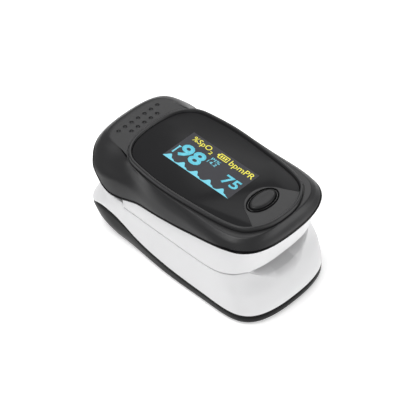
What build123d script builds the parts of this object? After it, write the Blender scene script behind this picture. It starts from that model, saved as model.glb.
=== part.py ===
from build123d import *

import math
import os

# Fingertip pulse oximeter: a spring clip of two halves, hinged near the tail.
# The finger goes in at the front (-Y), the tail grip is at +Y, +Z is up.
# The origin is under the middle of the object, at the height of its lowest face. All sizes are millimetres.

# ---- overall heights ----
SEAM_GAP = 0.24
WINDOW_TOP = 27.2
ISLAND_TOP = 27.7
GRIP_TOP = 26.6
DECK_BOTTOM = 11.8
DECK_TOP = 12.4
CEILING_BOTTOM = 19.7
CEILING_TOP = 20.9
COVER_INSIDE_TOP = 25.9
FRAME_ABOVE_RIM = 0.7

# ---- hinge of the clip ----
PIVOT_Y = 14.0
PIVOT_Z = 14.8
PIN_R = 1.0
PIN_CLEARANCE = 0.05
PIN_HALF = 12.4
LOWER_EAR = (11.0, 12.4)
UPPER_EAR = (8.8, 10.6)
EAR_R = 1.8
SKIRT_BOTTOM = 12.6
SKIRT_TAIL_Y = 24.0
TAIL_GAP_TOP = 16.0
TAIL_WALL_Y = 14.2
TAIL_WALL_TOP = 15.0
SPRING_R = 1.9
SPRING_WIRE_R = 0.35
SPRING_TURNS = 6
SPRING_PITCH = 0.95

# ---- window, display and button ----
DISPLAY_Y = -0.85
OLED_SIZE = (19.3, 26.7, 1.45)
OLED_TOP = 25.85
OLED_ACTIVE = (10.86, 21.74)
WINDOW_THICKNESS = 1.0
BUTTON_Y = -17.85
BUTTON_RADII = (4.0, 2.1)
BUTTON_HOLE_GAP = 0.25
COLLAR_RADII = (4.95, 2.95)
COLLAR_HEIGHT = 0.25
BUTTON_TOP = 27.75
FLANGE = (25.0, 25.7)
STEM_BOTTOM = 24.8
PLUNGER_TOP = 24.75

# ---- boards ----
BOARD_Z = (22.2, 23.2)
SWITCH_TOP = 24.4
SENSOR_Y = -6.0

# ---- finger channel ----
CHANNEL_HALF = 10.95
PAD_FRONT_Y = -22.4
PAD_BACK_Y = 6.9
LOWER_PAD_TOP = 14.6
UPPER_PAD_BOTTOM = 14.9
FINGER_HALF = 9.4
FINGER_FLOOR = 13.0
FINGER_ROOF = 18.4
STOP_WALL_Y = (7.0, 8.2)

# ---- batteries and door ----
BATTERY_R = 5.25
BATTERY_X = 5.35
BATTERY_Z = 6.4
BATTERY_Y = (-22.0, 22.5)
DOOR_HALF = 10.6
DOOR_FRONT_Y = -20.5
DOOR_THICKNESS = 1.0
DOOR_GAP = 0.1
TONGUE_HALF = 11.2
TONGUE_Z = (0.55, 1.0)
RAIL_TOP = 1.9

# ---- screws ----
UPPER_SCREWS = [(13.0, -16.5), (13.0, 9.0)]
LOWER_SCREWS = [(12.7, -18.5), (12.7, 9.5)]
SCREW_R = 0.6
HEAD_R = 1.0
HEAD_HEIGHT = 0.8
BOSS_R = 1.3
COVER_BOSS_R = 1.1

# How square a corner is (1 is an ellipse, smaller is squarer) and how much it bows, per mm across squared.
ROUND = (0.667, 0.0)
MIDDLE = (0.5, 0.005)
SQUARE = (0.4, 0.01)
BLUNT = (0.45, 0.0)
CORNER_TURNS = (15, 35, 55, 75)

# Outlines by height: the front's y, then (half-width, y) along the side, then the tail's y.
HULL = {
    0.0: (-28.3, SQUARE, [(14.4, -14.5), (14.4, 0), (13.3, 12)], 23.5, ROUND),
    1.3: (-29.45, SQUARE, [(15.45, -14.5), (15.4, 3), (14.56, 15)], 26.1, ROUND),
    4.5: (-29.2, SQUARE, [(15.65, -14.5), (15.65, 0), (15.5, 15)], 27.5, BLUNT),
    8.0: (-28.1, SQUARE, [(15.7, -14), (15.7, 0), (15.7, 18.5)], 28.5, BLUNT),
    13.0: (-25.4, ROUND, [(15.55, -13), (15.55, 0), (15.6, 14)], 27.1, ROUND),
    15.6: (-24.6, ROUND, [(15.4, -12.5), (15.4, 0), (15.3, 14)], 26.0, ROUND),
}
UPPER = {
    13.0: (-24.8, ROUND, [(15.5, -12), (15.55, 0), (15.45, 14)], 26.8, ROUND),
    25.0: (-27.3, ROUND, [(15.7, -14), (15.7, 0), (15.6, 14)], 27.4, ROUND),
}
COVER = {
    16.0: (-28.2, SQUARE, [(16.4, -15), (16.5, -5), (16.5, 5), (16.4, 15), (16.5, 19.5)], 29.4, SQUARE),
    18.5: (-28.2, SQUARE, [(16.4, -15), (16.45, -5), (16.35, 5), (16.0, 15), (16.55, 19.5)], 29.45, SQUARE),
    21.0: (-28.15, SQUARE, [(16.4, -15), (16.4, -5), (16.2, 5), (15.4, 14.5), (16.3, 19.5)], 29.45, SQUARE),
    23.8: (-27.9, SQUARE, [(16.15, -15), (15.9, -4.5), (15.4, 5), (13.4, 14.8), (14.4, 20.3)], 29.4, SQUARE),
    25.6: (-26.4, MIDDLE, [(15.2, -13.5), (15.0, -4), (14.8, 4.5), (12.5, 14.6), (12.3, 20.3)], 28.5, SQUARE),
    26.6: (-25.65, MIDDLE, [(13.9, -12.5), (14.2, -4), (14.2, 4), (12.4, 13.8), (10.5, 19.2)], 27.2, MIDDLE),
}

# Half outline of the raised island that carries the window and the button.
ISLAND = [(0, -25.25), (4.3, -24.85), (7.6, -23.5), (10.2, -21.5), (11.8, -18.0), (12.5, -14.2), (13.1, -8),
          (13.6, 0), (13.55, 5), (13.0, 10.5), (11.9, 14.9), (10.3, 16.9), (8.4, 18.2), (4.6, 19.4), (0, 19.75)]
ISLAND_RIM = 0.85

# Half of the concave front edge of the window, where it goes round the button.
WINDOW_CUT = [(0, -14.15), (2.8, -14.8), (5.0, -16.75), (6.4, -19.3), (7.6, -21.4), (9.2, -24.5)]
WINDOW_GROOVE = 0.15

# Side profiles, (y, z): the cover's lower rim, the seam between the halves, the top of the bottom cover.
RIM_PROFILE = [(-32, 23.6), (-28.2, 23.3), (-24.5, 23.9), (-21.8, 24.0), (-19.2, 23.7), (-12.8, 22.4), (-6, 21.1),
               (-0.8, 20.4), (4, 19.7), (8, 18.9), (12, 17.5), (15, 16.6), (17.2, 16.4), (19.6, 17.4),
               (21.6, 19.5), (23.6, 21.4), (25.6, 23.0), (28.6, 24.2), (32, 24.6)]
SEAM_PROFILE = [(-32, 15.6), (-24, 14.7), (-18, 13.95), (-10, 13.6), (10, 13.6), (32, 13.6)]
LEAF_PROFILE = [(-32, 3.5), (-20, 3.5), (-8, 3.3), (-2, 3.6), (2, 4.0), (6.5, 4.7), (9.6, 5.6), (13, 7.1),
                (15.7, 8.2), (18.4, 9.0), (20.8, 9.4), (23, 9.3), (25, 8.9), (32, 8.6)]
SCOOP_FRONT = (-29.0, 12.9, 8.9)
SCOOP_BACK = (-22.9, 10.4, 12.4)
SCOOP_TOP = 14.9

FAR = 40.0


def at_z(z, shape):
    """The shape moved up by z."""
    return Pos(0, 0, z) * shape


def up(face, height):
    """A face extruded straight up, whichever way it faces."""
    return extrude(face, height, dir=(0, 0, 1))


def outline_face(points):
    """A face from a half outline and its mirror image, as one smooth closed curve."""
    left = [(-x, y) for x, y in reversed(points[1:-1])]
    return make_face(Spline(*points, *left, periodic=True))


def half_outline(row, grow=0.0):
    """The +X half of an outline: a squared-off front corner, the side, a squared-off tail corner."""
    front_y, front_corner, sides, tail_y, tail_corner = row
    front = corner(sides[0], front_y, front_corner, grow)
    tail = corner(sides[-1], tail_y, tail_corner, grow)
    return front + [(width + grow, y) for width, y in sides] + tail[::-1]


def corner(side, end_y, shape, grow):
    """Points from the middle of an end round to its side."""
    power, bow = shape
    half, centre = side
    way = math.copysign(1, end_y - centre)
    points = [(0, end_y + way * grow)]
    for turn in CORNER_TURNS:
        across = (half + grow) * math.sin(math.radians(turn)) ** power
        reach = (abs(end_y - centre) + grow) * math.cos(math.radians(turn)) ** power
        points.append((across, centre + way * (reach - bow * across ** 2)))
    return points


def inset(points, amount):
    """The half outline moved inward by an amount, each point along its own normal."""
    before = [(-points[1][0], points[1][1])] + points[:-1]
    after = points[1:] + [(-points[-2][0], points[-2][1])]
    moved = []
    for (x, y), (x0, y0), (x1, y1) in zip(points, before, after):
        length = math.hypot(x1 - x0, y1 - y0)
        moved.append((x - (y1 - y0) / length * amount, y + (x1 - x0) / length * amount))
    return moved


def stack(sections, grow=0.0):
    """A smooth solid through a table of outlines, each larger all round by an amount."""
    return loft([at_z(z, outline_face(half_outline(row, grow))) for z, row in sorted(sections.items())])


def prism(half, front_y, tail_y, z0, z1, corner):
    """An upright rounded block between two heights."""
    plan = Pos(0, (front_y + tail_y) / 2, z0) * RectangleRounded(2 * half, tail_y - front_y, corner)
    return up(plan, z1 - z0)


def below(profile, shift=0.0):
    """Everything below a side profile, right across the object."""
    points = [(y, z + shift) for y, z in profile]
    top = Spline(*points)
    edge = Polyline(points[-1], (points[-1][0], -FAR), (points[0][0], -FAR), points[0])
    return extrude(Plane.YZ * make_face([top, edge]), FAR, both=True)


def block(x0, x1, y0, y1, z0, z1):
    """A box from its corners."""
    centre = Pos((x0 + x1) / 2, (y0 + y1) / 2, (z0 + z1) / 2)
    return centre * Box(x1 - x0, y1 - y0, z1 - z0)


def pillar(x, y, z0, z1, radius):
    """A vertical cylinder between two heights."""
    return Pos(x, y, (z0 + z1) / 2) * Cylinder(radius, z1 - z0)


def barrel(x0, x1, y, z, radius):
    """A cylinder along X between two ends."""
    return Pos((x0 + x1) / 2, y, z) * Rot(0, 90, 0) * Cylinder(radius, x1 - x0)


def oval(radii, z0, z1, y=BUTTON_Y):
    """An upright oval column about the button's axis."""
    return Pos(0, y, z0) * extrude(Ellipse(*radii), z1 - z0)


def grown(radii, amount):
    """Both radii of an oval made larger."""
    return radii[0] + amount, radii[1] + amount


def as_part(*shapes):
    """Separate solids kept as one compound."""
    solids = [solid for shape in shapes for solid in shape.solids()]
    return Compound(children=solids) if len(solids) > 1 else solids[0]


def span(side, x0, x1):
    """The X limits of a span on one side of the middle."""
    return (x0, x1) if side > 0 else (-x1, -x0)


# ---- upper half ----

def window_face():
    """The window's outline: the island's inner outline, less a bay round the button."""
    left = [(-x, y) for x, y in reversed(WINDOW_CUT[1:])]
    edge = Spline(*left, *WINDOW_CUT)
    end_x, end_y = WINDOW_CUT[-1]
    apron = make_face([edge, Polyline((end_x, end_y), (end_x, -FAR), (-end_x, -FAR), (-end_x, end_y))])
    return outline_face(inset(ISLAND, ISLAND_RIM + WINDOW_GROOVE)) - apron


def cover_inside():
    """The space inside the top cover: the upper frame's walls at the rim, and the room for the boards."""
    rim = stack(UPPER, 0.06) & below(RIM_PROFILE, FRAME_ABOVE_RIM + 0.1)
    core = prism(13.5, -24.6, 18.5, 10, 22.6, 7) + prism(12.6, -24.0, 18.5, 10, 23.3, 6)
    boards = up(at_z(10, outline_face(inset(ISLAND, 1.3))), COVER_INSIDE_TOP - 10)
    tail = prism(14.5, -6, SKIRT_TAIL_Y + 0.1, 10, 21.0, 6.5) + prism(11.0, 10, 25.0, 10, 24.4, 4)
    return rim + core + boards + tail


def make_top_cover():
    """The black upper cover: shoulder, island, front flange, grip lobe and its dimples."""
    island = up(at_z(24.6, outline_face(ISLAND)), ISLAND_TOP - 24.6)
    cover = stack(COVER) + island
    cover -= below(RIM_PROFILE)
    cover -= cover_inside()
    cover -= up(at_z(WINDOW_TOP, outline_face(inset(ISLAND, ISLAND_RIM))), 2)
    cover -= up(at_z(WINDOW_TOP - WINDOW_THICKNESS, window_face()), 3)
    cover -= prism(OLED_ACTIVE[0] / 2 + 2, DISPLAY_Y - OLED_ACTIVE[1] / 2 - 1.5,
                   DISPLAY_Y + OLED_ACTIVE[1] / 2 + 1.5, COVER_INSIDE_TOP - 1, ISLAND_TOP, 1)
    cover += oval(COLLAR_RADII, COVER_INSIDE_TOP, WINDOW_TOP + COLLAR_HEIGHT)
    cover -= oval(grown(BUTTON_RADII, BUTTON_HOLE_GAP), COVER_INSIDE_TOP - 1, ISLAND_TOP + 1)
    for row_y, count in ((24.0, 7), (21.75, 5)):
        for i in range(count):
            cover -= Pos((i - (count - 1) / 2) * 2.22, row_y, GRIP_TOP + 0.15) * Sphere(0.55)
    for x, y in UPPER_SCREWS:
        for side in (1, -1):
            cover += pillar(side * x, y, CEILING_TOP, 24.0, COVER_BOSS_R)
            cover -= pillar(side * x, y, CEILING_TOP - 1, CEILING_TOP + 2.6, SCREW_R)
    return cover


def make_display_window():
    """The glossy window, set in the island below its rim."""
    return up(at_z(WINDOW_TOP - WINDOW_THICKNESS, window_face()), WINDOW_THICKNESS)


def make_oled_display():
    """The display module: a glass sandwich with its driver ledge."""
    x, y, thickness = OLED_SIZE
    glass = block(-x / 2, x / 2, DISPLAY_Y - y / 2, DISPLAY_Y + y / 2, OLED_TOP - thickness, OLED_TOP)
    ledge = block(-x / 2 - 0.05, -OLED_ACTIVE[0] / 2 - 1.8, DISPLAY_Y - y / 2 - 1, DISPLAY_Y + y / 2 + 1,
                  OLED_TOP - 0.7, OLED_TOP + 1)
    return glass - ledge


def make_oled_foam():
    """The foam frame between the display and the board."""
    x, y, thickness = OLED_SIZE
    outer = Rectangle(x - 1, y - 1) - Rectangle(x - 5, y - 5)
    return Pos(0, DISPLAY_Y, BOARD_Z[1]) * extrude(outer, OLED_TOP - thickness - BOARD_Z[1])


def make_main_board():
    """The main circuit board with its rounded ends."""
    return prism(11.2, -22.2, 17.8, *BOARD_Z, 5)


def make_microcontroller():
    """The square chip under the board, with its legs."""
    low = BOARD_Z[0] - 1.0
    body = block(-3.5, 3.5, 2.5, 9.5, low, BOARD_Z[0] - 0.1)
    legs = [block(-4.5, 4.5, y, y + 0.4, BOARD_Z[0] - 0.25, BOARD_Z[0]) for y in (3.2, 4.5, 5.8, 7.1, 8.4)]
    return body + legs


def make_board_parts():
    """Small parts on the board: capacitors, a crystal, a beeper and the two flat connectors."""
    top, bottom = BOARD_Z[1], BOARD_Z[0]
    parts = [block(x, x + 1.6, y, y + 0.8, bottom - 0.7, bottom)
             for x in (-9.5, -6.9, 5.3, 7.9) for y in (-16.0, -13.6, 10.0, 12.4)]
    crystal = block(-9.5, -6.3, 4.0, 8.6, bottom - 1.0, bottom)
    connector = block(6.2, 8.6, SENSOR_Y - 2.6, SENSOR_Y + 2.6, bottom - 0.75, bottom)
    beeper = pillar(5.0, 15.0, top, top + 1.6, 2.2)
    return as_part(*parts, crystal, connector, beeper)


def make_tact_switch():
    """The switch body on the board under the button."""
    body = block(-2.6, 2.6, BUTTON_Y - 2.2, BUTTON_Y + 2.2, BOARD_Z[1], SWITCH_TOP)
    return body - pillar(0, BUTTON_Y, BOARD_Z[1] + 0.02, SWITCH_TOP + 1, 1.0)


def make_switch_plunger():
    """The round plunger of the switch."""
    plunger = pillar(0, BUTTON_Y, BOARD_Z[1] + 0.5, PLUNGER_TOP, 0.95)
    return chamfer(plunger.edges().group_by(Axis.Z)[-1], 0.12)


def make_power_button():
    """The oval cap, its retaining flange and its stem."""
    cap = oval(BUTTON_RADII, FLANGE[0], BUTTON_TOP)
    cap = fillet(cap.edges().group_by(Axis.Z)[-1], 0.45)
    flange = oval(grown(BUTTON_RADII, 0.9), *FLANGE)
    stem = pillar(0, BUTTON_Y, STEM_BOTTOM, FLANGE[0] + 0.2, 1.1)
    return cap + flange + stem


def make_upper_frame():
    """The white frame of the upper half: walls, ceiling, channel walls, hinge ears and tail skirt."""
    outer = stack(UPPER) - block(-FAR, FAR, PIVOT_Y - 0.1, FAR, -FAR, FAR)
    outer &= below(RIM_PROFILE, FRAME_ABOVE_RIM)
    outer -= below(SEAM_PROFILE, SEAM_GAP / 2)
    frame = outer - prism(14.3, -23.6, 30, 0, 30, 7.5)
    skirt = prism(14.0, 0, SKIRT_TAIL_Y, SKIRT_BOTTOM, CEILING_TOP, 7)
    skirt -= prism(12.8, -5, SKIRT_TAIL_Y - 1.2, 0, 30, 6)
    skirt -= block(-FAR, FAR, -FAR, PIVOT_Y - 1.0, -FAR, FAR)
    skirt -= block(-LOWER_EAR[1], LOWER_EAR[1], -FAR, FAR, -FAR, TAIL_GAP_TOP)
    frame += skirt
    frame += prism(13.4, -24.4, SKIRT_TAIL_Y - 0.6, CEILING_BOTTOM, CEILING_TOP, 7)
    frame += prism(14.4, -22.5, 7.5, CEILING_BOTTOM, CEILING_BOTTOM + 0.5, 6)
    bottom = UPPER_PAD_BOTTOM + 0.1
    for side in (1, -1):
        wall_x = span(side, CHANNEL_HALF + 0.05, CHANNEL_HALF + 1.0)
        frame += block(*wall_x, -21.8, STOP_WALL_Y[1], bottom, CEILING_BOTTOM + 0.1)
        ear_x = span(side, *UPPER_EAR)
        frame += block(*ear_x, PIVOT_Y - EAR_R, PIVOT_Y + EAR_R, PIVOT_Z, CEILING_BOTTOM + 0.1)
        frame += barrel(*ear_x, PIVOT_Y, PIVOT_Z, EAR_R)
        frame -= barrel(*span(side, UPPER_EAR[0] - 1, UPPER_EAR[1] + 0.2), PIVOT_Y, PIVOT_Z, PIN_R + PIN_CLEARANCE)
        for x, y in UPPER_SCREWS:
            frame -= pillar(side * x, y, CEILING_BOTTOM - 1, CEILING_TOP + 1, SCREW_R + 0.1)
    frame += block(-CHANNEL_HALF - 0.5, CHANNEL_HALF + 0.5, *STOP_WALL_Y, bottom, CEILING_BOTTOM + 0.1)
    frame -= block(-2.1, 2.1, SENSOR_Y - 1.6, SENSOR_Y + 1.6, CEILING_BOTTOM - 1, CEILING_TOP + 1)
    return frame


def channel_pad(z0, z1, centre_z, rise, front_y):
    """A soft pad with an oval trough along Y."""
    body = prism(CHANNEL_HALF - 0.05, front_y, PAD_BACK_Y + 4, z0, z1, 4)
    body -= block(-FAR, FAR, PAD_BACK_Y, FAR, -FAR, FAR)
    trough = Plane.XZ * Pos(0, centre_z) * Ellipse(FINGER_HALF, rise)
    return body - extrude(trough, FAR, both=True)


def make_upper_finger_pad():
    """The soft pad over the finger, with a hole for the light."""
    pad = channel_pad(UPPER_PAD_BOTTOM, CEILING_BOTTOM, 14.5, FINGER_ROOF - 14.5, PAD_FRONT_Y)
    return pad - block(-2.1, 2.1, SENSOR_Y - 2.1, SENSOR_Y + 2.1, FINGER_ROOF - 2, CEILING_TOP)


def make_emitter_board():
    """The small board that carries the light sources."""
    return block(-3.6, 3.6, SENSOR_Y - 3, SENSOR_Y + 3, CEILING_TOP, CEILING_TOP + 0.4)


def make_emitter_leds():
    """The red and the infrared light source, side by side."""
    dies = [block(x - 0.8, x + 0.8, SENSOR_Y - 1.1, SENSOR_Y + 1.1, CEILING_TOP - 0.9, CEILING_TOP)
            for x in (-1.05, 1.05)]
    return as_part(*dies)


def make_emitter_window():
    """The clear window in the upper pad."""
    return block(-2.05, 2.05, SENSOR_Y - 2.05, SENSOR_Y + 2.05, FINGER_ROOF + 0.2, CEILING_BOTTOM - 0.02)


def make_flex_cable():
    """The flat cable from the light source's board to its connector under the main board."""
    low = CEILING_TOP + 0.4
    run = block(1.0, 7.2, SENSOR_Y - 2, SENSOR_Y + 2, low, low + 0.12)
    return run


def screw(x, y, head_z, shaft, up=1):
    """A small pan-head screw: the head is at head_z, the shaft points up or down from it."""
    head = Pos(x, y, head_z - up * HEAD_HEIGHT / 2) * Cylinder(HEAD_R, HEAD_HEIGHT)
    slot = Pos(x, y, head_z - up * (HEAD_HEIGHT - 0.15)) * (Box(1.2, 0.3, 0.5) + Box(0.3, 1.2, 0.5))
    thread = Pos(x, y, head_z + up * shaft / 2) * Cylinder(SCREW_R, shaft)
    return head - slot + thread


def make_upper_screws():
    """The screws that hold the upper frame to the top cover."""
    return as_part(*[screw(side * x, y, CEILING_BOTTOM, 3.7) for x, y in UPPER_SCREWS for side in (1, -1)])


# ---- lower half ----

def bay(z0, z1):
    """The battery bay between two heights: narrower near the floor, where the hull curves in."""
    front_y = BATTERY_Y[0] - 1.2
    low = prism(13.3, front_y, 23.9, z0, min(z1, 5.0), 6)
    return low if z1 <= 5.0 else low + prism(14.2, front_y, 24.8, 5.0, z1, 7)


def scoop():
    """The funnel that leads the finger in between the halves."""
    faces = []
    for y, half, floor in (SCOOP_FRONT, SCOOP_BACK):
        faces.append(Plane.XZ.offset(-y) * Pos(0, SCOOP_TOP) * Ellipse(half, SCOOP_TOP - floor))
    return loft(faces)


def make_lower_frame():
    """The white lower body: walls, deck over the batteries, hinge ears, screw bosses and finger scoop."""
    tail_wall = block(-FAR, FAR, TAIL_WALL_Y, FAR, 0, TAIL_WALL_TOP)
    frame = stack(HULL) & (below(SEAM_PROFILE, -SEAM_GAP / 2) + tail_wall)
    frame -= below(LEAF_PROFILE)
    frame -= scoop()
    frame -= bay(RAIL_TOP, DECK_BOTTOM)
    frame -= prism(14.2, PAD_FRONT_Y, 24.8, DECK_TOP, 30, 7)
    for side in (1, -1):
        pocket_x = span(side, LOWER_EAR[1] - 0.1, 14.2)
        frame -= block(*pocket_x, PIVOT_Y - 1.4, 18.0, 8.0, 30)
        corner = prism(14.2, 0, 24.8, 8.0, 30, 7) & block(*pocket_x, 17.5, 30, 0, 30)
        frame -= corner
        ear_x = span(side, *LOWER_EAR)
        frame += block(*ear_x, PIVOT_Y - EAR_R, PIVOT_Y + EAR_R, DECK_BOTTOM, PIVOT_Z)
        frame += barrel(*ear_x, PIVOT_Y, PIVOT_Z, EAR_R)
        frame -= barrel(*span(side, LOWER_EAR[0] - 0.2, LOWER_EAR[1] + 0.2), PIVOT_Y, PIVOT_Z, PIN_R)
        for x, y in LOWER_SCREWS:
            frame += pillar(side * x, y, RAIL_TOP + 0.05, DECK_BOTTOM + 0.1, BOSS_R)
            frame -= pillar(side * x, y, 0, 7.0, SCREW_R)
    frame += block(-9.4, 9.4, 20.4, 21.4, DECK_TOP - 0.1, 16.7)
    frame += block(-LOWER_EAR[0], LOWER_EAR[0], 8.6, 9.4, DECK_TOP - 0.1, 14.4)
    frame -= block(-1.8, 1.8, SENSOR_Y - 1.8, SENSOR_Y + 1.8, DECK_BOTTOM - 1, DECK_TOP + 1)
    return frame


def door_volume(gap=0.0):
    """The door's plate and its two side tongues, or the larger space that they slide in."""
    plate = block(-DOOR_HALF - gap, DOOR_HALF + gap, DOOR_FRONT_Y - gap, FAR, -1, DOOR_THICKNESS + gap)
    tongues = block(-TONGUE_HALF - gap, TONGUE_HALF + gap, DOOR_FRONT_Y - gap, FAR,
                    TONGUE_Z[0] - gap, TONGUE_Z[1] + gap)
    return plate + tongues


def make_bottom_cover():
    """The black bottom shell with the door's opening, its rails and the raised tail leaf."""
    shell = stack(HULL) & below(LEAF_PROFILE)
    shell -= bay(RAIL_TOP, 12)
    shell -= block(-DOOR_HALF - DOOR_GAP, DOOR_HALF + DOOR_GAP, BATTERY_Y[0] - 0.6, BATTERY_Y[1] + 1.2,
                   DOOR_THICKNESS, RAIL_TOP + 1)
    shell -= door_volume(DOOR_GAP)
    for x, y in LOWER_SCREWS:
        for side in (1, -1):
            shell -= pillar(side * x, y, -1, 0.9, HEAD_R + 0.15)
            shell -= pillar(side * x, y, -1, RAIL_TOP + 1, SCREW_R + 0.1)
            shell -= pillar(side * x, y, RAIL_TOP, 12, BOSS_R + 0.05)
    return shell


def make_battery_door():
    """The sliding door under the batteries, with a ribbed thumb grip."""
    door = door_volume() & stack(HULL)
    for i in range(5):
        door -= Pos(0, -14 + i * 1.5, 0) * Rot(0, 90, 0) * Cylinder(0.35, 9)
    return door


def make_battery(side):
    """One AAA cell: can, positive button and insulating shoulder. The two cells point opposite ways."""
    y0, y1 = BATTERY_Y
    nose = 0.8
    low, high = (y0, y1 - nose) if side > 0 else (y0 + nose, y1)
    can = Pos(side * BATTERY_X, (low + high) / 2, BATTERY_Z) * Rot(90, 0, 0) * Cylinder(BATTERY_R, high - low)
    can = fillet(can.edges(), 0.5)
    button = Pos(side * BATTERY_X, (y0 + y1) / 2, BATTERY_Z) * Rot(90, 0, 0) * Cylinder(1.9, y1 - y0)
    half = block(-FAR, FAR, 0, FAR, -FAR, FAR) if side > 0 else block(-FAR, FAR, -FAR, 0, -FAR, FAR)
    return can + (button & half)


def coil(x, y0, y1, z, radius, wire, turns):
    """A helical spring along Y."""
    path = Helix(pitch=(y1 - y0) / turns, height=y1 - y0, radius=radius)
    section = (path ^ 0) * Circle(wire)
    return Pos(x, y1, z) * Rot(90, 0, 0) * sweep(section, path=path)


def make_battery_springs():
    """The two coil contacts, one at the flat end of each cell."""
    front = coil(BATTERY_X, BATTERY_Y[0] - 0.75, BATTERY_Y[0] - 0.25, BATTERY_Z, 2.2, 0.2, 1)
    back = coil(-BATTERY_X, BATTERY_Y[1] + 0.25, BATTERY_Y[1] + 0.75, BATTERY_Z, 2.2, 0.2, 1)
    return as_part(front, back)


def make_battery_plates():
    """The two separate contact plates at the tail end."""
    y0 = BATTERY_Y[1] + 0.95
    return as_part(*[block(side * BATTERY_X - 3, side * BATTERY_X + 3, y0, y0 + 0.3, 3.4, 10.4)
                     for side in (1, -1)])


def make_battery_bridge():
    """The contact plate that joins the cells at the front end."""
    y0 = BATTERY_Y[0] - 1.15
    return block(-7.6, 7.6, y0, y0 + 0.2, 3.4, 10.4)


def make_lower_finger_pad():
    """The soft pad under the finger, with a hole for the sensor."""
    rise = LOWER_PAD_TOP + 0.2 - FINGER_FLOOR
    pad = channel_pad(DECK_TOP, LOWER_PAD_TOP, LOWER_PAD_TOP + 0.2, rise, PAD_FRONT_Y)
    return pad - block(-1.8, 1.8, SENSOR_Y - 1.8, SENSOR_Y + 1.8, DECK_BOTTOM, LOWER_PAD_TOP)


def make_detector_board():
    """The narrow sensor board in the valley between the cells."""
    return block(-2.0, 2.0, SENSOR_Y - 5, SENSOR_Y + 5, 10.5, 10.9)


def make_detector_sensor():
    """The light sensor."""
    return block(-1.5, 1.5, SENSOR_Y - 1.5, SENSOR_Y + 1.5, 10.9, 11.7)


def make_detector_window():
    """The clear window in the lower pad."""
    return block(-1.75, 1.75, SENSOR_Y - 1.75, SENSOR_Y + 1.75, DECK_BOTTOM, FINGER_FLOOR - 0.15)


def make_hinge_pin():
    """The steel pin that the two halves turn on."""
    return barrel(-PIN_HALF, PIN_HALF, PIVOT_Y, PIVOT_Z, PIN_R)


def make_clip_spring():
    """The torsion spring: a coil round the pin and two arms that push the tails apart."""
    length = SPRING_TURNS * SPRING_PITCH
    path = Helix(pitch=SPRING_PITCH, height=length, radius=SPRING_R)
    wound = sweep((path ^ 0) * Circle(SPRING_WIRE_R), path=path)
    wound = Pos(-length / 2, PIVOT_Y, PIVOT_Z) * Rot(0, 90, 0) * wound
    arm_z = PIVOT_Z - SPRING_R
    low_arm = Pos(-length / 2, PIVOT_Y + 3, arm_z + 0.03) * Rot(90, 0, 0) * Cylinder(SPRING_WIRE_R, 6)
    high_arm = Pos(length / 2, PIVOT_Y, PIVOT_Z + SPRING_R) * Rot(-65, 0, 0) * Pos(0, 0, 3) * Cylinder(0.34, 6)
    return as_part(wound + low_arm + high_arm)


def make_lower_screws():
    """The screws that hold the bottom cover to the lower frame."""
    return as_part(*[screw(side * x, y, 0.9, 5.6) for x, y in LOWER_SCREWS for side in (1, -1)])


MAKERS = {
    "top_cover": make_top_cover,
    "display_window": make_display_window,
    "oled_display": make_oled_display,
    "oled_foam": make_oled_foam,
    "main_board": make_main_board,
    "microcontroller": make_microcontroller,
    "board_parts": make_board_parts,
    "tact_switch": make_tact_switch,
    "switch_plunger": make_switch_plunger,
    "power_button": make_power_button,
    "upper_frame": make_upper_frame,
    "upper_finger_pad": make_upper_finger_pad,
    "emitter_board": make_emitter_board,
    "emitter_leds": make_emitter_leds,
    "emitter_window": make_emitter_window,
    "flex_cable": make_flex_cable,
    "upper_screws": make_upper_screws,
    "lower_frame": make_lower_frame,
    "bottom_cover": make_bottom_cover,
    "battery_door": make_battery_door,
    "battery_left": lambda: make_battery(-1),
    "battery_right": lambda: make_battery(1),
    "battery_springs": make_battery_springs,
    "battery_plates": make_battery_plates,
    "battery_bridge": make_battery_bridge,
    "lower_finger_pad": make_lower_finger_pad,
    "detector_board": make_detector_board,
    "detector_sensor": make_detector_sensor,
    "detector_window": make_detector_window,
    "hinge_pin": make_hinge_pin,
    "clip_spring": make_clip_spring,
    "lower_screws": make_lower_screws,
}

os.makedirs("parts", exist_ok=True)
for node, make in MAKERS.items():
    export_step(make(), f"parts/{node}.step")
    print("wrote", node)
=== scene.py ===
import math

import bmesh
import bpy
import numpy as np
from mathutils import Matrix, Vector


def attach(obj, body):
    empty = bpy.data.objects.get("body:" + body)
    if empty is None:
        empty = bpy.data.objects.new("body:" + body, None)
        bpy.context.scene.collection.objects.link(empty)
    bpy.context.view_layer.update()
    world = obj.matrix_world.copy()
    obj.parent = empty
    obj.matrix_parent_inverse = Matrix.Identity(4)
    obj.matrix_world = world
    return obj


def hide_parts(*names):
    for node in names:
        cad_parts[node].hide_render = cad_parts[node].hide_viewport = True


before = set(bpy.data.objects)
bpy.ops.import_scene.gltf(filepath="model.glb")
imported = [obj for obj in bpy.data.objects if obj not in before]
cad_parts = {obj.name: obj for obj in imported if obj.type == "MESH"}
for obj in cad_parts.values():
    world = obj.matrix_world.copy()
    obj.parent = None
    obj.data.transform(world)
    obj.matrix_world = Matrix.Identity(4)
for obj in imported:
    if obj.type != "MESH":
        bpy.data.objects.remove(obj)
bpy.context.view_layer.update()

# A fingertip pulse oximeter: the finger goes in at -Y, and the grip is at +Y.
# Sizes are millimetres in the row frame, and meshes are made in metres.
MM = 0.001

# How finely curves are divided, and the turn above which an edge is shaded as sharp.
SPAN_STEPS = 8
ISLAND_STEPS = 16
ARC_STEPS = 10
OVAL_POINTS = 96
BARREL_POINTS = 40
SHARP_EDGE = math.radians(34)
# How a side profile is traced on a skin: rounds of correction, and how far each one goes.
TRACE_ROUNDS = 30
TRACE_PULL = 0.6

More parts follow.
